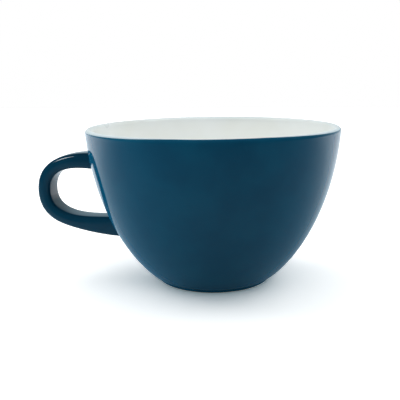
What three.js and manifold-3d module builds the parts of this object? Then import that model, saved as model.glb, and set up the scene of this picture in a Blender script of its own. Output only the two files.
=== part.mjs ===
// A latte cup in glazed stoneware. A round-bottomed bowl stands on a low foot ring, and a squared loop
// handle is stuck to its wall at two roots. The bowl and the handle are clay castings, and each carries
// its own coats of glaze: blue outside, white inside and over the lip, and a patch under the base.
// Units are millimetres, +Z is up and the handle points along -X.

import * as THREE from 'three';
import { mergeVertices } from 'three/addons/utils/BufferGeometryUtils.js';
import loadManifold from 'manifold-3d';

const wasm = await loadManifold();
wasm.setup();

// Driving dimensions of the bowl, measured on the finished glaze
const CUP_HEIGHT = 67.9;
const RIM_RADIUS = 55;
const LIP_THICKNESS = 3;
const WALL_AT_FOOT = 5.4;
const FLOOR_THICKNESS = 4.8;
const FOOT_RADIUS = 25.5;
const FOOT_HEIGHT = 1.2;

// The wall's curve: how it leaves the foot and how it comes up to the lip
const FOOT_LEAN = THREE.MathUtils.degToRad(18);
const FOOT_PULL = 4.4;
const RIM_FLARE = THREE.MathUtils.degToRad(4.2);
const RIM_PULL = 43.4;

// The floor inside: its flat middle, and the length of wall over which it turns up
const FLOOR_FLAT_RADIUS = 15;
const FLOOR_TURN_LENGTH = 16;
const FLOOR_TURN_PULL = 6.5;

// The foot ring and the recess inside it
const FOOT_SEAT_WIDTH = 3;
const FOOT_EDGE = 0.4;
const RECESS_DEPTH = 1.8;
const RECESS_SLOPE = 2;

// The glaze coats
const GLAZE_THICKNESS = 0.4;
const BARE_FOOT_HEIGHT = 0.6;
// How far round the lip the blue coat comes up before it meets the white one, from level
const GLAZE_LINE = THREE.MathUtils.degToRad(55);

// Driving dimensions of the handle, measured on the finished glaze
const HANDLE_REACH = 80.4;
const HANDLE_THICKNESS = 5.5;
const HANDLE_WIDTH = 11.7;
const HANDLE_EDGE = 2;
const UPPER_ROOT_LEVEL = 52.3;
const UPPER_ROOT_THICKNESS = 6.9;
const UPPER_ROOT_LEAN = THREE.MathUtils.degToRad(5.4);
const UPPER_RUN_LENGTH = 22;
const LOWER_ROOT_LEVEL = 22.1;
const LOWER_ROOT_THICKNESS = 8.3;
const LOWER_ROOT_LEAN = THREE.MathUtils.degToRad(3);
const LOWER_ROOT_WIDTH = 10.8;
const LOWER_RUN_LENGTH = 26;
const ROOT_FLARE = 0.6;
const ROOT_FLARE_LENGTH = 3;

// The handle's curve: the level where it reaches out furthest, and the pull of its curve at each end
const UPRIGHT_LEVEL = 38.5;
const UPPER_ROOT_PULL = 16.9;
const UPRIGHT_PULL_UP = 9.8;
const UPRIGHT_PULL_DOWN = 13.6;
const LOWER_ROOT_PULL = 21.5;

// Clearance between two castings, and between two coats, where one meets the other
const SEAT_GAP = 0.3;
// How far the handle's raw ends run into the wall before they are trimmed to it
const ROOT_BURY = 4;

// Facets
const TURN_SEGMENTS = 48;
const WALL_STEPS = 12;
const OUTER_LIP_STEPS = 2;
const INNER_LIP_STEPS = 4;
const FLOOR_STEPS = 4;
const INNER_WALL_STEPS = 9;
const HANDLE_RINGS = 40;
const EDGE_STEPS = 3;
const HALVINGS = 40;

const point = (r, z) => new THREE.Vector2(r, z);

// The outline of the bowl

const lipCentre = point(RIM_RADIUS - LIP_THICKNESS / 2, CUP_HEIGHT - LIP_THICKNESS / 2);
const wallFoot = point(FOOT_RADIUS, FOOT_HEIGHT);
const wallTop = point(
  lipCentre.x + (LIP_THICKNESS / 2) * Math.cos(RIM_FLARE),
  lipCentre.y - (LIP_THICKNESS / 2) * Math.sin(RIM_FLARE),
);
const wallCurve = new THREE.CubicBezierCurve(
  wallFoot,
  point(wallFoot.x + FOOT_PULL * Math.cos(FOOT_LEAN), wallFoot.y + FOOT_PULL * Math.sin(FOOT_LEAN)),
  point(wallTop.x - RIM_PULL * Math.sin(RIM_FLARE), wallTop.y - RIM_PULL * Math.cos(RIM_FLARE)),
  wallTop,
);

// Point on the wall at a share u of its length, moved by depth into the wall along its normal.
function wallPoint(u, depth) {
  const at = wallCurve.getPointAt(u);
  const along = wallCurve.getTangentAt(u);
  return point(at.x - along.y * depth, at.y + along.x * depth);
}

// Thickness of the wall with its glaze, from the foot to the lip.
function wallThickness(u) {
  return THREE.MathUtils.lerp(WALL_AT_FOOT, LIP_THICKNESS, u);
}

// Point round the lip at an angle up from level, at a depth under the finished surface.
function lipPoint(angle, depth) {
  const radius = LIP_THICKNESS / 2 - depth;
  return point(lipCentre.x + radius * Math.cos(angle), lipCentre.y + radius * Math.sin(angle));
}

// The outside from the bare foot up the wall and round to the glaze line, at a depth under the surface.
function outsideLine(depth) {
  const line = [point(FOOT_RADIUS - depth, BARE_FOOT_HEIGHT)];
  for (let i = 0; i <= WALL_STEPS; i += 1) {
    line.push(wallPoint(i / WALL_STEPS, depth));
  }
  for (let i = 1; i <= OUTER_LIP_STEPS; i += 1) {
    line.push(lipPoint(THREE.MathUtils.lerp(-RIM_FLARE, GLAZE_LINE, i / OUTER_LIP_STEPS), depth));
  }
  return line;
}

// The inside from the middle of the floor up the wall and over the lip to the glaze line, at a depth
// under the finished surface.
function insideLine(depth) {
  const turn = FLOOR_TURN_LENGTH / wallCurve.getLength();
  const start = wallPoint(turn, wallThickness(turn) - depth);
  const along = wallCurve.getTangentAt(turn);
  const level = RECESS_DEPTH + FLOOR_THICKNESS - depth;
  const floorCurve = new THREE.CubicBezierCurve(
    point(0, level),
    point(FLOOR_FLAT_RADIUS, level),
    start.clone().addScaledVector(along, -FLOOR_TURN_PULL),
    start,
  );
  const line = floorCurve.getPoints(FLOOR_STEPS);
  for (let i = 1; i < INNER_WALL_STEPS; i += 1) {
    const u = THREE.MathUtils.lerp(turn, 1, i / INNER_WALL_STEPS);
    line.push(wallPoint(u, wallThickness(u) - depth));
  }
  for (let i = 0; i <= INNER_LIP_STEPS; i += 1) {
    const angle = THREE.MathUtils.lerp(Math.PI - RIM_FLARE, GLAZE_LINE, i / INNER_LIP_STEPS);
    line.push(lipPoint(angle, depth));
  }
  return line;
}

// The recess under the base from its middle to the foot ring, at a depth under the finished surface.
function recessLine(depth) {
  const edge = FOOT_RADIUS - FOOT_SEAT_WIDTH - FOOT_EDGE * 2;
  return [
    point(0, RECESS_DEPTH + depth),
    point(edge - RECESS_SLOPE, RECESS_DEPTH + depth),
    point(edge + depth, FOOT_EDGE),
  ];
}

// Turned bodies

// Turns an outline in (radius, height) about the cup's axis.
function turned(outline) {
  return new THREE.LatheGeometry(outline, TURN_SEGMENTS).rotateX(Math.PI / 2);
}

// A coat between two lines of equal count, the first on its lower or outer side. The outline closes on
// itself, unless both lines start on the axis.
function coat(outer, inner) {
  const outline = outer.concat(inner.reverse());
  const onAxis = outline[0].x === 0;
  return turned(onAxis ? outline : outline.concat([outline[0].clone()]));
}

function bowlBody() {
  const recess = recessLine(GLAZE_THICKNESS);
  const seatInner = FOOT_RADIUS - FOOT_SEAT_WIDTH - FOOT_EDGE;
  const footOuter = FOOT_RADIUS - GLAZE_THICKNESS;
  const seat = [
    point(seatInner, 0),
    point(footOuter - FOOT_EDGE, 0),
    point(footOuter, FOOT_EDGE),
  ];
  const outside = outsideLine(GLAZE_THICKNESS);
  const inside = insideLine(GLAZE_THICKNESS).reverse();
  return turned(recess.concat(seat, outside, inside.slice(1)));
}

// The bowl as a filled form, its outside moved out from the finished surface by a clearance.
function bowlFilled(clearance) {
  const outside = outsideLine(-clearance);
  const base = point(0, outside[0].y);
  const top = point(0, outside[outside.length - 1].y);
  return turned([base].concat(outside, [top]));
}

// The handle

// Outside radius of the finished wall at a height, found by halving.
function wallRadiusAt(height) {
  let low = 0;
  let high = 1;
  for (let i = 0; i < HALVINGS; i += 1) {
    const middle = (low + high) / 2;
    if (wallCurve.getPoint(middle).y < height) {
      low = middle;
    } else {
      high = middle;
    }
  }
  return wallCurve.getPoint(low).x;
}

// One end of the handle's middle line: the root on the wall, the end buried in the wall, and the control
// point that pulls the curve out of it. A lean is how far the line falls as it comes in to the wall.
function handleRoot(level, lean, pull) {
  const root = point(-wallRadiusAt(level), level);
  const inward = point(Math.cos(lean), -Math.sin(lean));
  return {
    root,
    end: root.clone().addScaledVector(inward, ROOT_BURY),
    control: root.clone().addScaledVector(inward, -pull),
  };
}

// The handle's middle line in the (x, z) plane through the cup's axis: out of the upper root, round to
// where it reaches out furthest, and round again to lean down into the lower root.
function handleLine() {
  const outermost = -(HANDLE_REACH - HANDLE_THICKNESS / 2);
  const upper = handleRoot(UPPER_ROOT_LEVEL, UPPER_ROOT_LEAN, UPPER_ROOT_PULL);
  const lower = handleRoot(LOWER_ROOT_LEVEL, LOWER_ROOT_LEAN, LOWER_ROOT_PULL);
  const line = new THREE.Path();
  line.moveTo(upper.end.x, upper.end.y);
  line.lineTo(upper.root.x, upper.root.y);
  line.bezierCurveTo(
    upper.control.x,
    upper.control.y,
    outermost,
    UPRIGHT_LEVEL + UPRIGHT_PULL_UP,
    outermost,
    UPRIGHT_LEVEL,
  );
  line.bezierCurveTo(
    outermost,
    UPRIGHT_LEVEL - UPRIGHT_PULL_DOWN,
    lower.control.x,
    lower.control.y,
    lower.root.x,
    lower.root.y,
  );
  line.lineTo(lower.end.x, lower.end.y);
  return line;
}

// A rounded rectangle as pairs of (place, outward direction), with its corners as arcs.
function handleSection(thickness, width) {
  const ring = [];
  for (let corner = 0; corner < 4; corner += 1) {
    const signA = corner === 0 || corner === 3 ? 1 : -1;
    const signB = corner < 2 ? 1 : -1;
    for (let i = 0; i <= EDGE_STEPS; i += 1) {
      const angle = (corner + i / EDGE_STEPS) * (Math.PI / 2);
      const out = point(Math.cos(angle), Math.sin(angle));
      const centre = point(
        signA * (thickness / 2 - HANDLE_EDGE),
        signB * (width / 2 - HANDLE_EDGE),
      );
      ring.push({ place: centre.addScaledVector(out, HANDLE_EDGE), out });
    }
  }
  return ring;
}

// How much the section grows at a point, so that the handle flares where it comes to the wall.
function flareAt(x, y, z) {
  const distance = Math.hypot(x, y) - wallRadiusAt(z);
  const near = THREE.MathUtils.clamp(1 - distance / ROOT_FLARE_LENGTH, 0, 1);
  return ROOT_FLARE * near * near;
}

// Thickness and width of the handle's section at a distance along its line of a given length. The handle
// grows thicker towards both roots, and narrower towards the lower one.
function handleSizes(distance, length) {
  const { lerp, smoothstep } = THREE.MathUtils;
  const fromUpper = distance - ROOT_BURY;
  const fromLower = length - ROOT_BURY - distance;
  const nearUpper = 1 - smoothstep(fromUpper, 0, UPPER_RUN_LENGTH);
  const nearLower = 1 - smoothstep(fromLower, 0, LOWER_RUN_LENGTH);
  const thickness = lerp(HANDLE_THICKNESS, UPPER_ROOT_THICKNESS, nearUpper);
  return {
    thickness: lerp(thickness, LOWER_ROOT_THICKNESS, nearLower),
    width: lerp(HANDLE_WIDTH, LOWER_ROOT_WIDTH, nearLower),
  };
}

// Rings of points round the handle's line, moved out from the finished surface by a clearance.
function handleRings(clearance) {
  const line = handleLine();
  const length = line.getLength();
  const rings = [];
  for (let i = 0; i <= HANDLE_RINGS; i += 1) {
    const u = i / HANDLE_RINGS;
    const at = line.getPointAt(u);
    const along = line.getTangentAt(u);
    const { thickness, width } = handleSizes(u * length, length);
    rings.push(handleSection(thickness, width).map(({ place, out }) => {
      const x = at.x + along.y * place.x;
      const z = at.y - along.x * place.x;
      const grow = flareAt(x, place.y, z) + clearance;
      return new THREE.Vector3(
        x + along.y * out.x * grow,
        place.y + out.y * grow,
        z - along.x * out.x * grow,
      );
    }));
  }
  return rings;
}

// Joins rings of equal count into a closed skin: the sides, and a fan or a band at each end.
function lofted(outer, inner) {
  const count = outer[0].length;
  const corners = [];
  const quad = (a, b, c, d) => corners.push(a, b, c, a, c, d);
  const side = (rings, flip) => {
    for (let i = 0; i + 1 < rings.length; i += 1) {
      for (let j = 0; j < count; j += 1) {
        const k = (j + 1) % count;
        const [a, b, c, d] = [rings[i][j], rings[i][k], rings[i + 1][k], rings[i + 1][j]];
        // Both ways round split the quad on the same diagonal, so a coat lies close on what it covers.
        quad(...(flip ? [a, d, c, b] : [a, b, c, d]));
      }
    }
  };
  side(outer, false);
  if (inner) {
    side(inner, true);
  }
  [0, outer.length - 1].forEach((end) => {
    for (let j = 0; j < count; j += 1) {
      const k = (j + 1) % count;
      const fan = inner
        ? [outer[end][j], outer[end][k], inner[end][k], inner[end][j]]
        : [outer[end][0], outer[end][j], outer[end][k]];
      const loop = end === 0 ? fan.reverse() : fan;
      if (inner) {
        quad(...loop);
      } else if (j > 0 && k > 0) {
        corners.push(...loop);
      }
    }
  });
  return new THREE.BufferGeometry().setFromPoints(corners);
}

// Joins and cuts

// A closed geometry as a solid, with its shared corners merged and its collapsed triangles dropped.
function solid(geometry) {
  const bare = geometry.clone();
  bare.deleteAttribute('normal');
  bare.deleteAttribute('uv');
  const merged = mergeVertices(bare);
  const index = Array.from(merged.index.array);
  const triVerts = [];
  for (let i = 0; i < index.length; i += 3) {
    const [a, b, c] = index.slice(i, i + 3);
    if (a !== b && b !== c && c !== a) {
      triVerts.push(a, b, c);
    }
  }
  return new wasm.Manifold(new wasm.Mesh({
    numProp: 3,
    vertProperties: new Float32Array(merged.attributes.position.array),
    triVerts: new Uint32Array(triVerts),
  }));
}

// What is left of one form after another is taken away.
function trimmed(geometry, cutter) {
  const { vertProperties, triVerts } = solid(geometry).subtract(solid(cutter)).getMesh();
  const result = new THREE.BufferGeometry();
  result.setAttribute('position', new THREE.BufferAttribute(new Float32Array(vertProperties), 3));
  result.setIndex(Array.from(triVerts));
  result.computeVertexNormals();
  return result;
}

// Clay of the handle, seated on the clay of the bowl.
function handleLoop() {
  return trimmed(lofted(handleRings(-GLAZE_THICKNESS)), bowlFilled(SEAT_GAP - GLAZE_THICKNESS));
}

// Coat of the handle, stopping short of the coat of the bowl.
function handleGlaze() {
  const sleeve = lofted(handleRings(0), handleRings(-GLAZE_THICKNESS));
  return trimmed(sleeve, bowlFilled(SEAT_GAP));
}

// Coat of the bowl's outside, open where the handle's clay goes through it.
function outerGlaze() {
  const shell = coat(outsideLine(0), outsideLine(GLAZE_THICKNESS));
  return trimmed(shell, lofted(handleRings(SEAT_GAP - GLAZE_THICKNESS)));
}

// Coat of the bowl's floor, inner wall and lip.
function innerGlaze() {
  return coat(insideLine(GLAZE_THICKNESS), insideLine(0));
}

// Coat of the recess under the base.
function baseGlaze() {
  return coat(recessLine(0), recessLine(GLAZE_THICKNESS));
}

// The cup

const finishes = {
  clay: { color: 0xe6ded0, roughness: 0.85, metalness: 0 },
  blueGlaze: { color: 0x12374d, roughness: 0.12, metalness: 0 },
  whiteGlaze: { color: 0xe4e8e6, roughness: 0.14, metalness: 0 },
};

function piece(name, geometry, finish) {
  const mesh = new THREE.Mesh(geometry, new THREE.MeshStandardMaterial(finish));
  mesh.name = name;
  return mesh;
}

// The pieces share the cup's axis. The group sets the middle of the whole cup, handle included, over the
// origin, so the axis stands off it towards +X.
const cup = new THREE.Group();
cup.name = 'latte_cup';
cup.position.x = (HANDLE_REACH - RIM_RADIUS) / 2;
cup.add(
  piece('bowl_body', bowlBody(), finishes.clay),
  piece('handle_loop', handleLoop(), finishes.clay),
  piece('outer_glaze', outerGlaze(), finishes.blueGlaze),
  piece('handle_glaze', handleGlaze(), finishes.blueGlaze),
  piece('inner_glaze', innerGlaze(), finishes.whiteGlaze),
  piece('base_glaze', baseGlaze(), finishes.whiteGlaze),
);

export default cup;
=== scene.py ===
"""A latte cup in glazed stoneware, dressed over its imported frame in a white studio.

The bowl and its loop handle are fired clay. Each wears its own coat of blue glaze outside, the
bowl is glazed white inside and under its foot, and the foot ring it stands on is bare. Sizes in
the classes are millimetres and become metres where a mesh is made.
"""

import logging
from dataclasses import dataclass, field
from enum import Enum

import bpy
import numpy as np
from bpy.types import ID, Collection, Material, Node, NodeSocket, NodeTree, Object
from mathutils import Matrix, Vector


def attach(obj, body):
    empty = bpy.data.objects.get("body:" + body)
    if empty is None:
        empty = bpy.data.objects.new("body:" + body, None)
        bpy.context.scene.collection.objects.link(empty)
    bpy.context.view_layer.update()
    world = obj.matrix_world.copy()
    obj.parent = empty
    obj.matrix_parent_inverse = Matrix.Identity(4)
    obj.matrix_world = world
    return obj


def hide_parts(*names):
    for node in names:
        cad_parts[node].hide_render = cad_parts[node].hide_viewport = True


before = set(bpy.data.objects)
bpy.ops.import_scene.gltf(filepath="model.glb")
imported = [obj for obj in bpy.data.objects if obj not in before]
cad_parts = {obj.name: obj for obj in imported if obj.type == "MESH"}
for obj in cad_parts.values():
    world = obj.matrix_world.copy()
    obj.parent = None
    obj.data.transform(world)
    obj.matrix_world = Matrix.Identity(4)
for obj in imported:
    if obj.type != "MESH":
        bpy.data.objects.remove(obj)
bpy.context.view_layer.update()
MM = 0.001
POLE_SPAN = 1e-9  # a row of points no wider than this, in metres, is one pole
OVERHEAD = (8000, 8000)  # a softbox as wide as the whole ceiling
LOG = logging.getLogger("latte_cup")


class Slot(Enum):
    """The record's material slots."""

    CLAY = "clay"
    BLUE_GLAZE = "blue_glaze"
    WHITE_GLAZE = "white_glaze"


def linear(hex_colour: str) -> tuple[float, float, float, float]:
    """Turns an sRGB hex colour into linear light.

    Args:
        hex_colour: A colour such as "#12374d".

    Returns:
        Linear red, green and blue, and an alpha of 1.
    """
    code = np.array([int(hex_colour[i:i + 2], 16) for i in (1, 3, 5)]) / 255
    light = np.where(code <= 0.04045, code / 12.92, ((code + 0.055) / 1.055) ** 2.4)
    return (*light.tolist(), 1.0)


def add_node(tree: NodeTree, kind: str, inputs: dict, **settings: object) -> Node:
    """Adds a node with its settings, values and links.

    Args:
        tree: The node tree that takes the node.
        kind: The node's type name after ShaderNode.
        inputs: Input names or numbers, each with a value, or with a socket or a node to link. A
            node gives its first output in use.
        settings: Properties of the node itself.

    Returns:
        The new node.
    """
    node = tree.nodes.new(f"ShaderNode{kind}")
    for key, value in settings.items():
        setattr(node, key, value)
    for key, value in inputs.items():
        if isinstance(value, Node):
            value = next(socket for socket in value.outputs if socket.enabled)
        if isinstance(value, NodeSocket):
            tree.links.new(value, node.inputs[key])
        else:
            node.inputs[key].default_value = value
    return node


def new_material(name: str) -> tuple[Material, NodeTree, NodeSocket]:
    """Starts a material with a node tree that holds only the place on the object.

    Args:
        name: The finish's plain name.

    Returns:
        The material, its tree and the socket with the place.
    """
    material = bpy.data.materials.new(name)
    material.use_nodes = True
    tree = material.node_tree
    tree.nodes.clear()
    return material, tree, add_node(tree, "TexCoord", {}).outputs["Object"]


def uneven(tree: NodeTree, place: NodeSocket, size: float, height: float, detail: float) -> Node:
    """Raises a fine unevenness on a surface, such as a glaze's ripple or a clay's grit.

    Args:
        tree: The node tree that takes the nodes.
        place: The place on the object.
        size: The size of a bump in millimetres.
        height: The height of a bump in millimetres.
        detail: How many finer layers the bumps have.

    Returns:
        The node with the normal.
    """
    bumps = add_node(tree, "TexNoise",
                     {"Vector": place, "Scale": 1 / (size * MM), "Detail": detail})
    return add_node(tree, "Bump", {"Height": bumps, "Strength": 1.0, "Distance": height * MM})


def placed(name: str, data: ID) -> Object:
    """Makes an object and links it to the scene.

    Args:
        name: The object's name.
        data: Its mesh, lamp or camera.

    Returns:
        The new object.
    """
    thing = bpy.data.objects.new(name, data)
    bpy.context.scene.collection.objects.link(thing)
    return thing


def heading(bearing: float, rise: float) -> np.ndarray:
    """Gives the direction at a bearing from -y towards +x and a rise above level, in degrees."""
    turn, up = np.radians([bearing, rise])
    return np.array([np.sin(turn) * np.cos(up), -np.cos(turn) * np.cos(up), np.sin(up)])


def smooth(start: float, end: float, value: np.ndarray) -> np.ndarray:
    """Rises smoothly from 0 at start to 1 at end, as 3t squared less 2t cubed."""
    t = np.clip((value - start) / (end - start), 0, 1)
    return t * t * (3 - 2 * t)


def bezier(corners: list, t: np.ndarray) -> np.ndarray:
    """Gives points of a cubic curve: the four corners weighed by the Bernstein terms of t.

    Args:
        corners: The curve's four control points, each across and up.
        t: Places along the curve from 0 to 1.

    Returns:
        Points, one row for each t.
    """
    weights = np.stack([(1 - t) ** 3, 3 * t * (1 - t) ** 2, 3 * t ** 2 * (1 - t), t ** 3], axis=-1)
    return weights @ np.array(corners, dtype=float)


def lengths(points: np.ndarray) -> np.ndarray:
    """Gives the distance run along a line of points up to each of them."""
    return np.concatenate([[0], np.cumsum(np.linalg.norm(np.diff(points, axis=0), axis=1))])


def skin(grid: np.ndarray, loop: bool) -> tuple[np.ndarray, list, np.ndarray]:
    """Joins a grid of points into one closed skin that faces outwards.

    Every row closes on itself, and a row whose points all coincide becomes one pole. The skin's
    signed volume, the sum of its faces' corner determinants, says which way its faces turn.

    Args:
        grid: Points as rows, columns and x, y, z.
        loop: Whether the last row joins the first, as round a ring.

    Returns:
        The points in use, the faces and the grid places of those points.
    """
    count, across, _ = grid.shape
    index = np.arange(count * across).reshape(count, across)
    pole = np.ptp(grid, axis=1).max(axis=1) < POLE_SPAN
    index[pole] = index[pole][:, :1]
    low = index if loop else index[:-1]
    high = np.roll(index, -1, axis=0) if loop else index[1:]
    quads = np.stack([low, np.roll(low, -1, 1), np.roll(high, -1, 1), high], axis=2).reshape(-1, 4)
    corner = grid.reshape(-1, 3)[quads]
    volume = np.einsum("ij,ij->", corner[:, 0], np.cross(corner[:, 1], corner[:, 2]))
    volume += np.einsum("ij,ij->", corner[:, 0], np.cross(corner[:, 2], corner[:, 3]))
    quads = quads if volume > 0 else quads[:, ::-1]
    used, flat = np.unique(quads, return_inverse=True)
    quads = flat.reshape(quads.shape)
    first = quads[:, 0] == quads[:, 1]
    last = quads[:, 2] == quads[:, 3]
    parts = quads[~(first | last)], quads[first][:, 1:], quads[last][:, :3]
    return grid.reshape(-1, 3)[used], sum((part.tolist() for part in parts), []), used


@dataclass
class Piece:
    """One closed piece of the cup, ready to be made into a mesh.

    Attributes:
        name: The piece's name.
        node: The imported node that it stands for.
        slot: The record's material slot that it takes.
        grid: Its points in millimetres as rows, columns and x, y, z.
        loop: Whether the grid's last row joins its first.
        edge: How near each point lies to the end of its coat, from 0 to 1.
        sharp_angle: Degrees between two faces from which their edge stays sharp.
    """

    name: str
    node: str
    slot: Slot
    grid: np.ndarray
    loop: bool
    edge: np.ndarray | None = None
    sharp_angle: float = 40.0

    def make(self, material: Material) -> Object:
        """Makes the mesh, dresses it and sets it on the frame in place of its node.

        Args:
            material: The finish that the piece wears.

        Returns:
            The finished object.
        """
        points, faces, used = skin(self.grid * MM, self.loop)
        mesh = bpy.data.meshes.new(self.name)
        mesh.from_pydata(points.tolist(), [], faces)
        mesh.shade_smooth()
        mesh.set_sharp_from_angle(angle=np.radians(self.sharp_angle))
        near = np.zeros(self.grid.shape[:2]) if self.edge is None else self.edge
        layer = mesh.attributes.new("coat_edge", "FLOAT", "POINT")
        layer.data.foreach_set("value", near.reshape(-1)[used].astype(np.float32))
        mesh.materials.append(material)
        piece = placed(self.name, mesh)
        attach(piece, "root")
        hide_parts(self.node)
        LOG.info("%s: %d faces, in place of %s", self.name, len(faces), self.node)
        return piece


@dataclass(frozen=True)
class Finish:
    """The look of one slot, drawn by nodes alone.

    Attributes:
        name: Its plain name.
    """

    name: str

    def inputs(self, tree: NodeTree, place: NodeSocket) -> dict:
        """Gives the shader's inputs by name, as each finish draws them from the place."""
        raise NotImplementedError

    def material(self) -> Material:
        """Builds the node material.

        Returns:
            The finished material.
        """
        material, tree, place = new_material(self.name)
        shader = add_node(tree, "BsdfPrincipled", self.inputs(tree, place))
        add_node(tree, "OutputMaterial", {"Surface": shader})
        return material


@dataclass(frozen=True)
class Glaze(Finish):
    """A coat of coloured glass, poured over stoneware and fired.

    Attributes:
        body, cloud: Its colour, and its colour in the clouds where it runs thicker.
        thin: Its colour where it ends.
        cloud_size, cloud_detail: The size of a cloud and how many finer layers it has.
        ripple_size, ripple_height: The slow ripple that a glaze keeps when it sets.
        roughness: Its roughness between the clouds and in them.
        cloud_span, gloss_span: The values of the noise over which colour and roughness change.
        ior: The glass's refractive index.
    """

    body: str
    cloud: str
    thin: str
    cloud_size: float
    cloud_detail: float
    ripple_size: float
    ripple_height: float
    roughness: tuple[float, float]
    cloud_span: tuple[float, float] = (0.35, 0.65)
    gloss_span: tuple[float, float] = (0.3, 0.7)
    ior: float = 1.5

    def inputs(self, tree: NodeTree, place: NodeSocket) -> dict:
        """Gives what every glaze has: soft clouds, a changed colour at its end, gloss and ripple.

        Args:
            tree: The node tree that takes the nodes.
            place: The place on the object.

        Returns:
            The shader's inputs by name.
        """
        edge = add_node(tree, "Attribute", {}, attribute_name="coat_edge").outputs["Fac"]
        clouds = add_node(tree, "TexNoise",
                          {"Vector": place, "Scale": 1 / (self.cloud_size * MM),
                           "Detail": self.cloud_detail})
        share = add_node(tree, "MapRange",
                         {0: clouds, 1: self.cloud_span[0], 2: self.cloud_span[1], 3: 0.0, 4: 1.0})
        cloudy = add_node(tree, "Mix",
                          {0: share, 6: linear(self.body), 7: linear(self.cloud)}, data_type="RGBA")
        colour = add_node(tree, "Mix", {0: edge, 6: cloudy, 7: linear(self.thin)}, data_type="RGBA")
        rough = add_node(tree, "MapRange",
                         {0: clouds, 1: self.gloss_span[0], 2: self.gloss_span[1],
                          3: self.roughness[0], 4: self.roughness[1]})
        return {"Base Color": colour, "Roughness": rough, "IOR": self.ior,
                "Normal": uneven(tree, place, self.ripple_size, self.ripple_height, detail=1.0)}


@dataclass(frozen=True)
class BlueGlaze(Glaze):
    """Glossy petrol-blue glaze, poured over stoneware and fired to a thin coloured glass.

    It gives the eye a deep even blue under a wet gloss, a lighter bloom where the coat is seen at a
    glancing angle, faint clouds where it runs thicker, and a paler line where it thins at its end.

    Attributes:
        speck: The colour of its rare pinholes.
        speck_spacing, speck_size, speck_share: Their spacing, size and share of the places.
        bloom, bloom_roughness, bloom_colour: The strength, spread and colour of the bloom.
    """

    name: str = "blue_stoneware_glaze"
    body: str = "#033c55"
    cloud: str = "#04425b"
    thin: str = "#2b6c80"
    cloud_size: float = 14.0
    cloud_detail: float = 3.0
    ripple_size: float = 5.0
    ripple_height: float = 0.004
    roughness: tuple[float, float] = (0.03, 0.06)
    speck: str = "#86a3ad"
    speck_spacing: float = 17.0
    speck_size: float = 0.5
    speck_share: float = 0.2
    bloom: float = 0.3
    bloom_roughness: float = 0.5
    bloom_colour: str = "#1ca6e0"

    def inputs(self, tree: NodeTree, place: NodeSocket) -> dict:
        """Adds the blue's own specks and bloom to what every glaze has.

        Args:
            tree: The node tree that takes the nodes.
            place: The place on the object.

        Returns:
            The shader's inputs by name.
        """
        inputs = super().inputs(tree, place)
        # rare pale pinhole specks, drawn at half a millimetre so that they show
        cells = add_node(tree, "TexVoronoi",
                         {"Vector": place, "Scale": 1 / (self.speck_spacing * MM)})
        dot = add_node(tree, "MapRange",
                       {0: cells, 1: 0.0, 2: self.speck_size / self.speck_spacing, 3: 1.0, 4: 0.0},
                       interpolation_type="SMOOTHSTEP")
        pick = add_node(tree, "SeparateColor", {0: cells.outputs["Color"]})
        rare = add_node(tree, "Math", {0: pick, 1: 1 - self.speck_share}, operation="GREATER_THAN")
        mark = add_node(tree, "Math", {0: dot, 1: rare}, operation="MULTIPLY")
        colour = add_node(tree, "Mix", {0: mark, 6: inputs["Base Color"], 7: linear(self.speck)},
                          data_type="RGBA")
        return inputs | {
            "Base Color": colour, "Sheen Weight": self.bloom,
            "Sheen Roughness": self.bloom_roughness, "Sheen Tint": linear(self.bloom_colour)}


@dataclass(frozen=True)
class WhiteGlaze(Glaze):
    """Glossy white glaze, poured into the bowl and fired to an opaque white glass.

    It gives the eye a clean cool white with soft wide reflections, the faintest warm clouds, and
    a breath of blue along the line where it meets the outer coat. That greyer blue over the lip's
    top is also painted shade, so that the lit lip shows no brighter than the inside.
    """

    name: str = "white_stoneware_glaze"
    body: str = "#edf0ee"
    cloud: str = "#e9ebe6"
    # the white's end colour: partly the blue's tint, partly painted shade that darkens the lit lip
    thin: str = "#b0c3ca"
    cloud_size: float = 22.0
    cloud_detail: float = 2.0
    ripple_size: float = 7.0
    ripple_height: float = 0.006
    roughness: tuple[float, float] = (0.26, 0.34)


@dataclass(frozen=True)
class BareClay(Finish):
    """Fired stoneware left bare, as on a ground foot ring.

    It gives the eye a dry matt buff with darker grains of iron and a fine grit to the touch. The
    grit is a tenth of a millimetre and is drawn at a third of one, so that it shows.

    Attributes:
        body, worn, grain: The colours of the clay, of its worn places and of its iron.
        cloud_size: The size of a worn place.
        grain_spacing, grain_size, grain_share: The spacing, size and strength of the grains.
        grit_size, grit_height: The grit's size as drawn, and its height.
        roughness: Its roughness.
    """

    name: str = "bare_stoneware"
    body: str = "#d9cdb9"
    worn: str = "#c6b69d"
    grain: str = "#7d6248"
    cloud_size: float = 4.0
    grain_spacing: float = 1.6
    grain_size: float = 0.35
    grain_share: float = 0.8
    grit_size: float = 0.33
    grit_height: float = 0.05
    roughness: float = 0.85

    def inputs(self, tree: NodeTree, place: NodeSocket) -> dict:
        """Gives the clay's worn places, its grains of iron and its grit.

        Args:
            tree: The node tree that takes the nodes.
            place: The place on the object.

        Returns:
            The shader's inputs by name.
        """
        clouds = add_node(tree, "TexNoise",
                          {"Vector": place, "Scale": 1 / (self.cloud_size * MM), "Detail": 4.0})
        ground = add_node(tree, "Mix",
                          {0: clouds, 6: linear(self.body), 7: linear(self.worn)}, data_type="RGBA")
        cells = add_node(tree, "TexVoronoi",
                         {"Vector": place, "Scale": 1 / (self.grain_spacing * MM)})
        iron = add_node(tree, "MapRange",
                        {0: cells, 1: 0.0, 2: self.grain_size / self.grain_spacing,
                         3: self.grain_share, 4: 0.0}, interpolation_type="SMOOTHSTEP")
        colour = add_node(tree, "Mix", {0: iron, 6: ground, 7: linear(self.grain)},
                          data_type="RGBA")
        return {"Base Color": colour, "Roughness": self.roughness,
                "Normal": uneven(tree, place, self.grit_size, self.grit_height, detail=2.0)}


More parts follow.
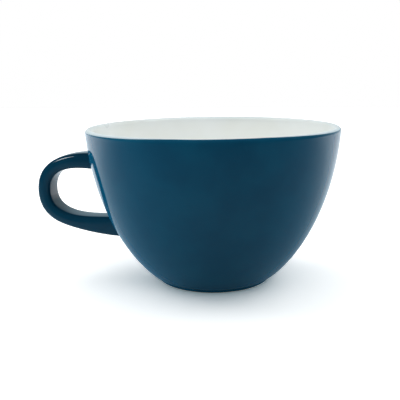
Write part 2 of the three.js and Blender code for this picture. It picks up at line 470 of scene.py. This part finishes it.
@dataclass
class Bowl:
    """The round bowl: its clay, the blue coat outside and the white coats inside and below.

    Every line is drawn across and up from the cup's own axis and then turned about it. A pull is
    how far a curve keeps to the direction of its end. Leans and turns are degrees.

    Attributes:
        axis: Where the cup's own axis stands along x.
        height, rim_radius: The top of the lip and the widest radius.
        lip, wall_at_foot, floor: The clay's thickness with its glaze at the lip, foot and floor.
        foot_radius, foot_height, foot_lean, foot_pull: The foot ring and how the wall leaves it.
        rim_flare, rim_pull: How the wall comes to the lip.
        floor_flat, floor_turn, floor_pull: How the floor turns up into the wall inside.
        seat_width, foot_edge: The ground seat of the foot ring and its rounded edges.
        recess, recess_flat, recess_turn, recess_corner: The depth of the hollow under the foot, and
            how its roof turns down into the ring's side.
        glaze, bare_foot, glaze_bead: The thickness of every coat, the height left bare at the foot
            and the round of the coat above it.
        line_level, line_dip, line_turn, dip_span: The level at which blue meets white in front, its
            dip at the sides, the turn of that dip and the cosines between which it sets in.
        handle_dip, handle_span: The further dip at the handle and its cosines.
        wavers: The line's waves, each with its height, count and start.
        thin_share, thin_reach: How much the blue thins at its end, and over what distance.
        lip_tint_and_shade_reach: The distance over which the white takes its tint from the blue and
            the painted
        shade that darkens its lip.
        turns, wall_rows, inner_rows, floor_rows, lip_rows, roof_rows, recess_rows, round_rows:
            Counts of the grid.
        curve_points: The count of points that draws the wall's curve.
        row_crowding: How much closer the rows lie at the foot.
    """

    axis: float = 12.7
    height: float = 67.9
    rim_radius: float = 55.0
    lip: float = 3.0
    wall_at_foot: float = 5.4
    floor: float = 4.8
    foot_radius: float = 25.5
    foot_height: float = 1.2
    foot_lean: float = 18.0
    foot_pull: float = 4.4
    rim_flare: float = 4.2
    rim_pull: float = 43.4
    floor_flat: float = 15.0
    floor_turn: float = 16.0
    floor_pull: float = 6.5
    seat_width: float = 3.0
    foot_edge: float = 0.4
    recess: float = 1.8
    recess_flat: float = 3.5
    recess_turn: float = 1.7
    recess_corner: tuple[float, float] = (0.6, 0.5)
    glaze: float = 0.4
    bare_foot: float = 0.3
    glaze_bead: float = 0.35
    line_level: float = 67.88
    line_dip: float = 0.6
    line_turn: float = 8.0
    handle_dip: float = 0.3
    dip_span: tuple[float, float] = (0.35, 0.95)
    handle_span: tuple[float, float] = (0.2, 0.6)
    wavers: tuple = ((0.03, 5, 1.0), (0.02, 11, 2.3))
    thin_share: float = 0.5
    thin_reach: float = 0.45
    lip_tint_and_shade_reach: float = 1.3
    turns: int = 192
    wall_rows: int = 90
    inner_rows: int = 70
    floor_rows: int = 36
    lip_rows: int = 14
    roof_rows: int = 8
    recess_rows: int = 12
    round_rows: int = 6
    curve_points: int = 1200
    row_crowding: float = 1.3

    def __post_init__(self) -> None:
        """Draws the wall's outer curve once, with its directions and shares of its length.

        It is a cubic curve from the foot to the round of the lip, whose centre lies half the lip's
        thickness in from the rim and down from the top.
        """
        flare = np.radians(self.rim_flare)
        lean = np.radians(self.foot_lean)
        self.lip_centre = np.array([self.rim_radius, self.height]) - self.lip / 2
        foot = np.array([self.foot_radius, self.foot_height])
        top = self.lip_centre + self.lip / 2 * np.array([np.cos(flare), -np.sin(flare)])
        corners = [foot, foot + self.foot_pull * np.array([np.cos(lean), np.sin(lean)]),
                   top - self.rim_pull * np.array([np.sin(flare), np.cos(flare)]), top]
        self.wall_points = bezier(corners, np.linspace(0, 1, self.curve_points))
        run = lengths(self.wall_points)
        self.wall_length = run[-1]
        self.wall_shares = run / run[-1]
        along = np.gradient(self.wall_points, axis=0)
        self.wall_along = along / np.linalg.norm(along, axis=1, keepdims=True)
        self.turn = np.linspace(0, 2 * np.pi, self.turns, endpoint=False)

    def wall(self, share: np.ndarray, depth: np.ndarray | float) -> np.ndarray:
        """Gives points of the wall, each moved into the clay at right angles to it.

        Args:
            share: Places along the wall's length, from 0 at the foot to 1 at the lip.
            depth: How far each point is moved in.

        Returns:
            Points across and up, one row for each share.
        """
        columns = np.concatenate([self.wall_points, self.wall_along], axis=1).T
        across, up, along_r, along_z = (np.interp(share, self.wall_shares, c) for c in columns)
        return np.stack([across - along_z * depth, up + along_r * depth], axis=-1)

    def wall_radius(self, level: np.ndarray) -> np.ndarray:
        """Gives the wall's outer radius at each level."""
        return np.interp(level, self.wall_points[:, 1], self.wall_points[:, 0])

    def thickness(self, share: np.ndarray) -> np.ndarray:
        """Gives the wall's thickness, which falls evenly from the foot to the lip."""
        return self.wall_at_foot + (self.lip - self.wall_at_foot) * share

    def glaze_line(self) -> np.ndarray:
        """Gives the angle round the lip at which blue meets white, for each turn.

        The line stands on the lip's shoulder in front and behind and dips towards the handle and
        the far side: its level falls smoothly with the cosine of the turn, a little more at the
        handle, with a small waver.

        Returns:
            Lip angles in radians, from the horizontal outwards.
        """
        side = np.cos(self.turn - np.radians(self.line_turn))
        dip = self.line_dip * smooth(*self.dip_span, np.abs(side))
        towards = self.handle_dip * smooth(*self.handle_span, -side)
        waver = sum(height * np.sin(count * self.turn + start)
                    for height, count, start in self.wavers)
        level = self.line_level - dip - towards + waver
        return np.arcsin(np.clip((level - self.lip_centre[1]) / (self.lip / 2), -1, 1))

    def lip_arc(self, start: float, end: np.ndarray, depth: float) -> np.ndarray:
        """Gives the round of the lip as a circle about its centre.

        Args:
            start: The angle it starts from, the same for every turn.
            end: The angle it ends at, for each turn.
            depth: How far it lies inside the lip's surface.

        Returns:
            Points as rows, turns and across and up.
        """
        share = np.linspace(0, 1, self.lip_rows + 1)[1:, None]
        angle = start + (end[None] - start) * share
        circle = np.stack([np.cos(angle), np.sin(angle)], axis=-1)
        return self.lip_centre + (self.lip / 2 - depth) * circle

    def spread(self, line: np.ndarray) -> np.ndarray:
        """Repeats a line of points across and up for every turn."""
        return np.repeat(line[:, None], self.turns, axis=1)

    def outer_line(self, depth: float, end: np.ndarray) -> np.ndarray:
        """Gives the outside from the bare foot up over the lip's shoulder.

        Args:
            depth: How far the line lies inside the surface.
            end: The lip angle where it ends, for each turn.

        Returns:
            Points as rows, turns and across and up.
        """
        share = np.linspace(0, 1, self.wall_rows) ** self.row_crowding
        side = self.foot_radius - depth
        foot = np.array([[side, self.bare_foot], [side, self.foot_height]])
        wall = self.wall(share[1:], depth)
        lip = self.lip_arc(-np.radians(self.rim_flare), end, depth)
        return np.concatenate([self.spread(np.concatenate([foot, wall])), lip])

    def inner_line(self, depth: float, end: np.ndarray) -> np.ndarray:
        """Gives the inside from the middle of the floor up over the lip.

        The floor is a cubic curve that leaves the axis level and meets the wall along its slope.

        Args:
            depth: How far the line lies inside the clay.
            end: The lip angle where it ends, for each turn.

        Returns:
            Points as rows, turns and across and up.
        """
        level = self.recess + self.floor - depth
        share = np.linspace(self.floor_turn / self.wall_length, 1, self.inner_rows)
        wall = self.wall(share, self.thickness(share) - depth)
        along = wall[1] - wall[0]
        meet = wall[0] - self.floor_pull * along / np.linalg.norm(along)
        corners = [[0, level], [self.floor_flat, level], meet, wall[0]]
        floor = bezier(corners, np.linspace(0, 1, self.floor_rows))
        lip = self.lip_arc(np.pi - np.radians(self.rim_flare), end, depth)
        return np.concatenate([self.spread(np.concatenate([floor[:-1], wall])), lip])

    def recess_line(self, depth: float) -> np.ndarray:
        """Gives the hollow under the foot from the axis out to the ring.

        Its roof is flat and turns down into the ring's side by a cubic curve.

        Args:
            depth: How far the line lies inside the clay.

        Returns:
            Points across and up.
        """
        side = self.foot_radius - self.seat_width - 2 * self.foot_edge
        roof = self.recess + depth
        across, down = self.recess_corner
        corners = [[side - self.recess_flat, roof], [side - self.recess_turn, roof],
                   [side + depth - across, roof - down], [side + depth, self.foot_edge]]
        flat = np.linspace([0, roof], corners[0], self.roof_rows)
        return np.concatenate([flat[:-1], bezier(corners, np.linspace(0, 1, self.recess_rows))])

    def turned(self, line: np.ndarray) -> np.ndarray:
        """Turns a line about the cup's axis: across becomes a circle and up stays.

        Args:
            line: Points as rows, turns and across and up.

        Returns:
            Points as rows, turns and x, y, z.
        """
        x = self.axis + line[..., 0] * np.cos(self.turn)
        return np.stack([x, line[..., 0] * np.sin(self.turn), line[..., 1]], axis=-1)

    def near_end(self, line: np.ndarray, reach: float) -> np.ndarray:
        """Gives how near each point of a line is to its last row, fading over a reach."""
        return np.exp(-np.linalg.norm(line - line[-1:], axis=-1) / reach)

    def rounded(self, side: float, level: float, radius: float, out: int) -> np.ndarray:
        """Gives a quarter round up from a level to a side, which faces out at 1 and in at -1."""
        angle = np.linspace(-np.pi / 2, 0, self.round_rows)
        return np.stack([side + out * radius * (np.cos(angle) - 1),
                         level + radius * (np.sin(angle) + 1)], axis=1)

    def outer_coat(self) -> Piece:
        """Builds the blue coat: a shell between two outer lines, with a rounded bead at the foot.

        Returns:
            The coat as a piece.
        """
        end = self.glaze_line()
        outside = self.outer_line(0.0, end)[1:]
        inside = self.outer_line(self.glaze, end)[::-1]
        bead = self.rounded(self.foot_radius, self.bare_foot, self.glaze_bead, 1)
        line = np.concatenate([self.spread(bead), outside, inside])
        edge = np.zeros(line.shape[:2])
        shown = slice(len(bead), len(bead) + len(outside))
        edge[shown] = self.thin_share * self.near_end(outside, self.thin_reach)
        grid = self.turned(line)
        return Piece("outer_glaze_coat", "outer_glaze", Slot.BLUE_GLAZE, grid, True, edge)

    def inner_coat(self) -> Piece:
        """Builds the white coat inside: a shell between two inner lines, closed on the axis.

        Returns:
            The coat as a piece.
        """
        end = self.glaze_line()
        above = self.inner_line(0.0, end)
        below = self.inner_line(self.glaze, end)[::-1]
        line = np.concatenate([above, below])
        edge = np.zeros(line.shape[:2])
        # near its end the white takes the blue's tint, darkened over the lip as painted shade
        edge[:len(above)] = self.near_end(above, self.lip_tint_and_shade_reach)
        grid = self.turned(line)
        return Piece("inner_glaze_coat", "inner_glaze", Slot.WHITE_GLAZE, grid, False, edge)

    def base_coat(self) -> Piece:
        """Builds the white patch under the foot: a thin shell that lines the recess.

        Returns:
            The patch as a piece.
        """
        line = np.concatenate([self.recess_line(0.0), self.recess_line(self.glaze)[::-1]])
        grid = self.turned(self.spread(line))
        return Piece("base_glaze_coat", "base_glaze", Slot.WHITE_GLAZE, grid, False)

    def clay(self) -> Piece:
        """Builds the clay: one line under all three coats, with the foot ring's rounded seat.

        Returns:
            The clay as a piece.
        """
        inner = self.recess_line(self.glaze)
        inner_round = self.rounded(inner[-1, 0], 0.0, self.foot_edge / 2, -1)[::-1]
        outer_round = self.rounded(self.foot_radius - self.glaze, 0.0, self.foot_edge, 1)
        seat = np.concatenate([inner, inner_round, outer_round])
        over = np.full(self.turns, np.pi / 2)
        up = self.outer_line(self.glaze, over)
        down = self.inner_line(self.glaze, over)[::-1][1:]
        line = np.concatenate([self.spread(seat), up, down])
        return Piece("bowl_clay", "bowl_body", Slot.CLAY, self.turned(line), False)


@dataclass
class Handle:
    """The loop handle: a rounded strap carried along a bent line from wall to wall.

    Its middle line lies in the cup's plane of symmetry and is drawn from the cup's own axis. Leans
    are degrees, and a run is a distance along that line.

    Attributes:
        bowl: The bowl that carries it.
        reach, thickness, width: Its outermost distance, and the strap's section half way round.
        edge, crown: The radius of the strap's corners and the rise of its flats.
        upper_level, upper_thickness, upper_lean, upper_run: The upper root and its thickening.
        lower_level, lower_thickness, lower_lean, lower_width, lower_run: The same, lower down.
        upright_level: The level at which the line stands upright.
        upper_pull, upright_pull_up, upright_pull_down, lower_pull: The curves' pulls.
        fillet, sunk: The round at the wall and how deep it starts in the wall.
        bury: How far the line goes on into each wall.
        rows, corner_points, flat_points: Counts of the grid.
        curve_points, buried_points: Counts of points that draw each curve and each buried end.
        search_points: The count of places where the strap is tried against the wall.
        row_crowding: How much closer the rows lie at the roots.
    """

    bowl: Bowl
    reach: float = 80.75
    thickness: float = 5.85
    width: float = 11.7
    edge: float = 2.0
    crown: float = 0.12
    upper_level: float = 52.15
    upper_thickness: float = 7.2
    upper_lean: float = 5.4
    upper_run: float = 22.0
    lower_level: float = 22.05
    lower_thickness: float = 8.9
    lower_lean: float = 3.0
    lower_width: float = 10.8
    lower_run: float = 26.0
    upright_level: float = 38.5
    upper_pull: float = 16.9
    upright_pull_up: float = 9.8
    upright_pull_down: float = 13.6
    lower_pull: float = 21.5
    fillet: float = 1.0
    sunk: float = 0.25
    bury: float = 9.0
    rows: int = 170
    corner_points: int = 9
    flat_points: int = 7
    curve_points: int = 500
    buried_points: int = 60
    search_points: int = 1500
    row_crowding: float = 0.8

    def __post_init__(self) -> None:
        """Draws the middle line once: two joined cubic curves with a straight end in each wall.

        The curves meet where the line stands upright, and each leaves its wall along its lean.
        """
        out = self.thickness / 2 - self.reach
        rise, drop = self.upright_pull_up, self.upright_pull_down
        upper, lower = (np.array([-float(self.bowl.wall_radius(level)), level])
                        for level in (self.upper_level, self.lower_level))
        above, below = (np.array([np.cos(lean), -np.sin(lean)])
                        for lean in np.radians([self.upper_lean, self.lower_lean]))
        t = np.linspace(0, 1, self.curve_points)
        first = bezier([upper, upper - above * self.upper_pull, [out, self.upright_level + rise],
                        [out, self.upright_level]], t)
        second = bezier([[out, self.upright_level], [out, self.upright_level - drop],
                         lower - below * self.lower_pull, lower], t)
        buried = np.linspace(self.bury, 0, self.buried_points, endpoint=False)[:, None]
        start = upper + buried * above
        end = lower + buried[::-1] * below
        line = np.concatenate([start, first, second[1:], end])
        self.run = lengths(line)
        along = np.gradient(line, self.run, axis=0)
        self.line = line
        self.along = along / np.linalg.norm(along, axis=1, keepdims=True)
        self.root_run = self.run[-1] - self.bury

    def section(self) -> np.ndarray:
        """Gives the strap's rounded rectangle as four corner arcs joined by crowned flats.

        Returns:
            For each point: the sign or share that places it on the half thickness and half width,
            the direction it is rounded in, and how much crown it takes.
        """
        corner = np.linspace(0, np.pi / 2, self.corner_points)
        share = np.linspace(1, -1, self.flat_points + 2)[1:-1]
        quarter = np.arange(4)[:, None]
        even = quarter % 2 == 0
        a, b = np.array([[1, -1, -1, 1], [1, 1, -1, -1]])[..., None]
        still = np.ones(self.corner_points)
        place_a = np.hstack([a * still, np.where(even, a * share, a)])
        place_b = np.hstack([b * still, np.where(even, b, b * share)])
        level = np.repeat((quarter + 1) * np.pi / 2, self.flat_points, axis=1)
        turn = np.hstack([corner + quarter * np.pi / 2, level])
        crown = np.tile(np.concatenate([0 * corner, 1 - share ** 2]), (4, 1))
        return np.stack([place_a, place_b, turn, crown]).reshape(4, -1)

    def surface(self, run: np.ndarray, inset: float, grow: np.ndarray | float) -> np.ndarray:
        """Carries the section along the middle line.

        A point is the line's point, plus its place across the strap along the line's normal, plus
        its place across the width along y. The thickness grows smoothly over the run to each root,
        and the width falls over the lower run.

        Args:
            run: The distance along the line for each row, or for each row and section point.
            inset: How far the surface lies under the glaze.
            grow: How far each point is moved out, as in the fillet at the wall.

        Returns:
            Points as rows, section points and x, y, z, from the cup's axis.
        """
        place_a, place_b, turn, crown = self.section()
        columns = np.concatenate([self.line, self.along], axis=1).T
        x, z, along_x, along_z = (np.interp(run, self.run, column) for column in columns)
        lower = smooth(self.root_run - self.lower_run, self.root_run, run)
        upper = 1 - smooth(self.bury, self.bury + self.upper_run, run)
        half_a = (self.thickness + (self.lower_thickness - self.thickness) * lower
                  + (self.upper_thickness - self.thickness) * upper) / 2 - self.edge
        half_b = (self.width + (self.lower_width - self.width) * lower) / 2 - self.edge
        out = self.edge - inset + grow + crown * self.crown
        a = place_a * half_a + out * np.cos(turn)
        b = place_b * half_b + out * np.sin(turn)
        return np.stack([x + along_z * a, b, z - along_x * a], axis=-1)

    def clearance(self, points: np.ndarray) -> np.ndarray:
        """Gives how far each point stands out from the bowl's wall, measured level."""
        return np.hypot(points[..., 0], points[..., 1]) - self.bowl.wall_radius(points[..., 2])

    def loft(self, inset: float) -> np.ndarray:
        """Fits the strap between the walls, each long line from where it leaves one to the other.

        Each section point's line is cut where it sinks below the wall's surface. Near the wall the
        strap swells as a quarter round, and its foot is then drawn in to lie on the wall.

        Args:
            inset: How far the surface lies under the glaze.

        Returns:
            Points as rows, section points and x, y, z, from the cup's axis.
        """
        places = np.linspace(0, self.run[-1], self.search_points)
        outside = self.clearance(self.surface(places[:, None], inset, 0.0)) > -self.sunk - inset
        first = places[np.argmax(outside, axis=0)]
        last = places[::-1][np.argmax(outside[::-1], axis=0)]
        t = np.linspace(0, 1, self.rows)[:, None]
        eased = t - self.row_crowding * np.sin(2 * np.pi * t) / (2 * np.pi)
        run = first + (last - first) * eased
        bare = self.clearance(self.surface(run, inset, 0.0))
        low = np.clip(bare + self.sunk + inset, 0, self.fillet)
        grow = self.fillet - np.sqrt(self.fillet ** 2 - (self.fillet - low) ** 2)
        points = self.surface(run, inset, grow)
        drift = (self.clearance(points) - bare) * (1 - low / self.fillet)
        level = np.hypot(points[..., 0], points[..., 1])
        points[..., :2] *= ((level - drift) / level)[..., None]
        return points

    def shifted(self, points: np.ndarray) -> np.ndarray:
        """Moves points from the cup's axis to their place in the frame."""
        return points + [self.bowl.axis, 0, 0]

    def coat(self) -> Piece:
        """Builds the blue coat: a sleeve between the loft and the same loft under the glaze."""
        grid = self.shifted(np.concatenate([self.loft(0.0), self.loft(self.bowl.glaze)[::-1]]))
        return Piece("handle_glaze_coat", "handle_glaze", Slot.BLUE_GLAZE, grid, True)

    def clay(self) -> Piece:
        """Builds the clay strap: the loft under the glaze, closed at the middle of each end.

        Returns:
            The clay as a piece.
        """
        body = self.loft(self.bowl.glaze)
        top, bottom = (np.repeat(row.mean(axis=0)[None, None], body.shape[1], axis=1)
                       for row in (body[0], body[-1]))
        grid = self.shifted(np.concatenate([top, body, bottom]))
        return Piece("handle_clay", "handle_loop", Slot.CLAY, grid, False)


@dataclass
class Cup:
    """The whole cup, with the finish that each slot wears.

    Attributes:
        bowl: The bowl, which also carries the handle.
        finishes: The finish of each slot.
    """

    bowl: Bowl = field(default_factory=Bowl)
    finishes: dict = field(default_factory=lambda: {
        Slot.CLAY: BareClay(), Slot.BLUE_GLAZE: BlueGlaze(), Slot.WHITE_GLAZE: WhiteGlaze()})

    def build(self) -> dict:
        """Builds and dresses every piece.

        Returns:
            The finished objects by their slot.
        """
        handle = Handle(self.bowl)
        materials = {slot: finish.material() for slot, finish in self.finishes.items()}
        pieces = [self.bowl.clay(), self.bowl.outer_coat(), self.bowl.inner_coat(),
                  self.bowl.base_coat(), handle.clay(), handle.coat()]
        made = {slot: [] for slot in Slot}
        for piece in pieces:
            made[piece.slot].append(piece.make(materials[piece.slot]))
        return made


class Lit(Enum):
    """What a softbox lights, as if the rest were flagged off from it."""

    WALL = "lit_wall"
    HANDLE = "lit_handle"
    INSIDE = "lit_inside"
    FLOOR = "lit_floor"


@dataclass(frozen=True)
class Softbox:
    """A plain rectangular studio light that faces the cup.

    Attributes:
        name, lit: The light's name and what it lights.
        bearing, rise: Degrees round the cup from the camera, positive to the right, and up.
        size, brightness: Its width and height, and its radiance, where 1 is white.
        mirrored: Whether a gloss shows it.
        distance, colour: Its distance from the cup's middle and its colour.
    """

    name: str
    lit: Lit
    bearing: float
    rise: float
    size: tuple[float, float]
    brightness: float
    mirrored: bool = False
    distance: float = 800.0
    colour: str = "#f4f8fc"

    def light(self, target: Vector, camera_bearing: float, lit: Collection) -> None:
        """Hangs the light and turns it to the cup.

        Args:
            target: The point that it faces.
            camera_bearing: Degrees round the cup at which the camera stands.
            lit: The objects that it lights.
        """
        away = Vector(heading(self.bearing + camera_bearing, self.rise))
        lamp = bpy.data.lights.new(self.name, "AREA")
        lamp.shape = "RECTANGLE"
        lamp.size, lamp.size_y = (side * MM for side in self.size)
        lamp.energy = self.brightness * np.pi * lamp.size * lamp.size_y
        lamp.color = linear(self.colour)[:3]
        holder = placed(self.name, lamp)
        facing = away.to_track_quat("Z", "Y").to_matrix().to_4x4()
        holder.matrix_world = Matrix.Translation(target + away * self.distance * MM) @ facing
        holder.light_linking.receiver_collection = lit
        holder.visible_glossy = self.mirrored


@dataclass
class Studio:
    """The white floor, the dim surroundings and the softboxes.

    Attributes:
        floor_size: The floor's side.
        floor_colour: The floor's colour to all but the camera and a mirror.
        floor_shown, floor_lift: The share of its light that the floor shows to the camera, and the
        little that is added to it, so that it shows white and its shadow stays soft. The lift is
        bluer than grey, which paints a cool blue cast into the shadow.
        floor_mirrored: The floor's colour to a mirror, by the distance behind the cup: painted
            shade
        that dims it towards the camera.
        sky_mirrored: The sweep's colour to a mirror, by the height of the direction.
        behind: How far a direction leads away where the sweep starts and where it is full.
        ambient: The surroundings' own dim light.
        camera_bearing: Degrees round the cup at which the camera stands.
        boxes: The softboxes.
    """

    floor_size: float = 2400.0
    floor_colour: str = "#b4b4b4"
    floor_shown: tuple[float, float, float] = (1.37, 1.31, 1.27)
    floor_lift: tuple[float, float, float] = (0.03, 0.085, 0.108)
    floor_mirrored: tuple = (
        (-300.0, "#454b4d"), (-120.0, "#687275"), (-50.0, "#859195"), (0.0, "#a3b1b4"),
        (50.0, "#c1ced2"), (110.0, "#e2edf1"), (200.0, "#f6fcff"))
    sky_mirrored: tuple = (
        (0.05, "#f2fbff"), (0.2, "#c0d9e1"), (0.42, "#c0d9e1"), (0.7, "#383f45"))
    behind: tuple[float, float] = (0.2, 0.8)
    ambient: float = 0.05
    camera_bearing: float = 8.0
    boxes: tuple = (
        Softbox("inside_softbox", Lit.INSIDE, 0.0, 90.0, OVERHEAD, 0.5, True, 1500.0, "#fbfdff"),
        Softbox("left_inside_softbox", Lit.INSIDE, -71.0, 35.0, (600, 400), 5.1, colour="#fbfdff"),
        Softbox("right_inside_softbox", Lit.INSIDE, 71.0, 35.0, (600, 400), 4.5, colour="#fbfdff"),
        Softbox("floor_softbox", Lit.FLOOR, 0.0, 90.0, OVERHEAD, 0.85, True, 1500.0, "#fbfdff"),
        Softbox("left_floor_softbox", Lit.FLOOR, -118.0, 35.0, (1200, 900), 3.0, True, 1500.0,
                "#fbfdff"),
        Softbox("right_floor_softbox", Lit.FLOOR, 125.0, 35.0, (1200, 900), 2.2, True, 1500.0,
                "#fbfdff"),
        Softbox("left_softbox", Lit.WALL, -90.0, 25.0, (400, 600), 5.6),
        Softbox("right_softbox", Lit.WALL, 95.0, 25.0, (400, 600), 4.6),
        Softbox("front_softbox", Lit.WALL, 0.0, 28.0, (600, 400), 2.8),
        Softbox("fill_softbox", Lit.WALL, -15.0, 20.0, (400, 400), 1.2),
        Softbox("upper_softbox", Lit.WALL, -58.0, 33.0, (260, 220), 8.5, colour="#f8fafc"),
        Softbox("handle_softbox", Lit.HANDLE, -35.0, 7.0, (500, 140), 5.0),
        Softbox("edge_softbox", Lit.HANDLE, -58.0, 33.0, (260, 150), 14.0, True, colour="#f8fafc"),
    )

    def away(self, tree: NodeTree, way: NodeSocket) -> Node:
        """Gives how far a place or direction leads away from the camera.

        Args:
            tree: The tree that takes the node.
            way: The place or direction.

        Returns:
            The node with the distance or share.
        """
        ahead = tuple(-heading(self.camera_bearing, 0.0))
        return add_node(tree, "VectorMath", {0: way, 1: ahead}, operation="DOT_PRODUCT")

    def graded(self, tree: NodeTree, value: Node | NodeSocket, stops: tuple | list) -> Node:
        """Gives the colour that a row of stops has at a value.

        Args:
            tree: The tree that takes the nodes.
            value: The value to look up.
            stops: Rising values, each with its colour.

        Returns:
            The node with the colour.
        """
        low, high = stops[0][0], stops[-1][0]
        share = add_node(tree, "MapRange", {0: value, 1: low, 2: high, 3: 0.0, 4: 1.0})
        ramp = add_node(tree, "ValToRGB", {0: share})
        while len(ramp.color_ramp.elements) < len(stops):
            ramp.color_ramp.elements.new(1.0)
        for element, (place, colour) in zip(ramp.color_ramp.elements, stops):
            element.position, element.color = (place - low) / (high - low), linear(colour)
        return ramp

    def lay_floor(self) -> Object:
        """Lays the pale floor, which shows a little lighter than it is lit and keeps the shadow.

        A mirror sees it fall off from white behind the cup to dim before it, as when it is lit from
        behind.

        Returns:
            The floor.
        """
        half = self.floor_size * MM / 2
        mesh = bpy.data.meshes.new("floor")
        corners = [(-half, -half, 0), (half, -half, 0), (half, half, 0), (-half, half, 0)]
        mesh.from_pydata(corners, [], [(0, 1, 2, 3)])
        material, tree, place = new_material("white_studio_floor")
        path = add_node(tree, "LightPath", {})
        stops = [(depth * MM, colour) for depth, colour in self.floor_mirrored]
        mirrored = self.graded(tree, self.away(tree, place), stops)
        lit = add_node(tree, "Mix", {0: path.outputs["Is Glossy Ray"], 7: mirrored,
                                     6: linear(self.floor_colour)}, data_type="RGBA")
        tone = add_node(tree, "Mix", {0: path.outputs["Is Camera Ray"], 6: lit,
                                      7: (*self.floor_shown, 1.0)}, data_type="RGBA")
        paint = add_node(tree, "BsdfDiffuse", {"Color": tone})
        # a lift seen only by the camera, bluish: it paints a cool blue cast into the floor's shadow
        lift = add_node(tree, "Emission", {"Color": (*self.floor_lift, 1.0),
                                           "Strength": path.outputs["Is Camera Ray"]})
        both = add_node(tree, "AddShader", {0: paint, 1: lift})
        add_node(tree, "OutputMaterial", {"Surface": both})
        mesh.materials.append(material)
        floor = placed("floor", mesh)
        return floor

    def surround(self) -> None:
        """Makes the surroundings: white to the camera, a white sweep to a mirror, else dim.

        The sweep stands behind the cup and darkens with height, and before the cup all is dim.
        """
        world = bpy.data.worlds.new("white_studio")
        bpy.context.scene.world = world
        world.use_nodes = True
        tree = world.node_tree
        tree.nodes.clear()
        way = add_node(tree, "TexCoord", {}).outputs["Generated"]
        parts = add_node(tree, "SeparateXYZ", {0: way})
        path = add_node(tree, "LightPath", {})
        sweep = self.graded(tree, parts.outputs["Z"], self.sky_mirrored)
        behind = add_node(tree, "MapRange", {0: self.away(tree, way), 1: self.behind[0],
                                             2: self.behind[1], 3: 0.0, 4: 1.0})
        mirror = add_node(tree, "Math", {0: path.outputs["Is Glossy Ray"],
                                         1: path.outputs["Is Transmission Ray"]},
                          operation="MAXIMUM")
        share = add_node(tree, "Math", {0: behind, 1: mirror}, operation="MULTIPLY")
        dim = (self.ambient, self.ambient, self.ambient, 1.0)
        mirrored = add_node(tree, "Mix", {0: share, 6: dim, 7: sweep}, data_type="RGBA")
        shown = add_node(tree, "Mix", {0: path.outputs["Is Camera Ray"], 6: mirrored,
                                       7: (1.0, 1.0, 1.0, 1.0)}, data_type="RGBA")
        back = add_node(tree, "Background", {"Color": shown})
        add_node(tree, "OutputWorld", {"Surface": back})

    def build(self, pieces: dict, middle: Vector) -> None:
        """Sets up the floor, the surroundings and the lights.

        Args:
            pieces: The cup's pieces by their slot.
            middle: The middle of the cup.
        """
        floor = self.lay_floor()
        self.surround()
        members = {Lit.WALL: pieces[Slot.BLUE_GLAZE][:1] + pieces[Slot.CLAY],
                   Lit.HANDLE: pieces[Slot.BLUE_GLAZE][1:],
                   Lit.INSIDE: pieces[Slot.WHITE_GLAZE], Lit.FLOOR: [floor]}
        groups = {}
        for lit, objects in members.items():
            groups[lit] = bpy.data.collections.new(lit.value)
            for thing in objects:
                groups[lit].objects.link(thing)
        for box in self.boxes:
            box.light(middle, self.camera_bearing, groups[box.lit])
        bpy.context.scene.view_settings.view_transform = "Standard"


@dataclass(frozen=True)
class PhotoCamera:
    """The camera at the photograph's angle, for a picture of 400 by 400.

    Attributes:
        place: Where it stands.
        yaw, pitch, roll: Degrees to the left, down and round the picture's middle.
        focal: Focal length in pixels of the picture.
        offset: Where the lens's middle lies off the picture's middle, in pixels.
        picture: The picture's side in pixels.
        sensor: The sensor's width.
    """

    place: tuple[float, float, float] = (49.58, -262.43, 91.58)
    yaw: float = 9.2241
    pitch: float = 12.1553
    roll: float = -0.7333
    focal: float = 604.04
    offset: tuple[float, float] = (0.5, 0.5)
    picture: float = 400.0
    sensor: float = 36.0

    def build(self) -> None:
        """Makes the camera: a frame of right, up and back from yaw, pitch and roll.

        Right lies level and up is square to it and to the view. Both are then rolled together.
        """
        roll = np.radians(self.roll)
        back = heading(self.yaw, self.pitch)
        right = heading(self.yaw + 90, 0.0)
        up = np.cross(back, right)
        turned_right = np.cos(roll) * right + np.sin(roll) * up
        turned_up = np.cos(roll) * up - np.sin(roll) * right
        frame_axes = np.eye(4)
        columns = [turned_right, turned_up, back, np.array(self.place) * MM]
        frame_axes[:3] = np.stack(columns, axis=1)
        lens = bpy.data.cameras.new("photo_camera")
        lens.sensor_width = self.sensor
        lens.lens = self.focal / self.picture * self.sensor
        lens.shift_x = -self.offset[0] / self.picture
        lens.shift_y = self.offset[1] / self.picture
        lens.clip_start = 0.01
        camera = placed("photo_camera", lens)
        camera.matrix_world = Matrix(frame_axes.tolist())
        bpy.context.scene.camera = camera


def main() -> None:
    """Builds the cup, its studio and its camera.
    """
    logging.basicConfig(level=logging.INFO, format="%(name)s: %(message)s")
    PhotoCamera().build()
    cup = Cup()
    pieces = cup.build()
    Studio().build(pieces, Vector((cup.bowl.axis, 0, cup.bowl.height / 2)) * MM)


if __name__ == "__main__":
    main()
